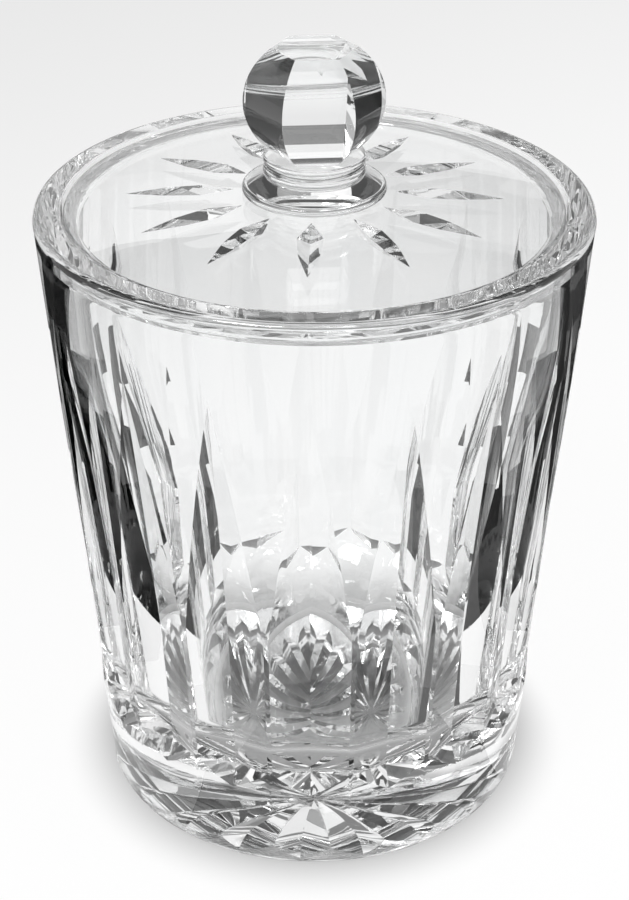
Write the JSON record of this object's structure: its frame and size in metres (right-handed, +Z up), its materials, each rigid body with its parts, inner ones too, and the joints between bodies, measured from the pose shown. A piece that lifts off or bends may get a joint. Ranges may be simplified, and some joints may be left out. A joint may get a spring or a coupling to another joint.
{
  "type": "lidded candy dish",
  "caption": "Clear cut-crystal covered dish: tapered jar with upright mitre cuts and a star-cut base, and an inset lid with a leaf-cut star and a faceted ball knob, which lifts off.",
  "frame": {"origin": "centre of the jar's underside, on the table", "axes": "+Z up along the jar's axis; the side seen in the picture faces -Y"},
  "size_m": [0.1396, 0.1396, 0.2049],
  "materials": {
    "jar_crystal": "polished clear lead crystal",
    "lid_crystal": "polished clear lead crystal",
    "knob_crystal": "polished clear lead crystal"
  },
  "bodies": {
    "jar_body": {"jar": "jar_crystal"},
    "lid_body": {"lid": "lid_crystal", "knob": "knob_crystal"}
  },
  "joints": [
    {"name": "lid_lift", "type": "slide", "parent": "jar_body", "child": "lid_body", "axis": [0, 0, 1], "range_m": [0, 0.12]}
  ]
}
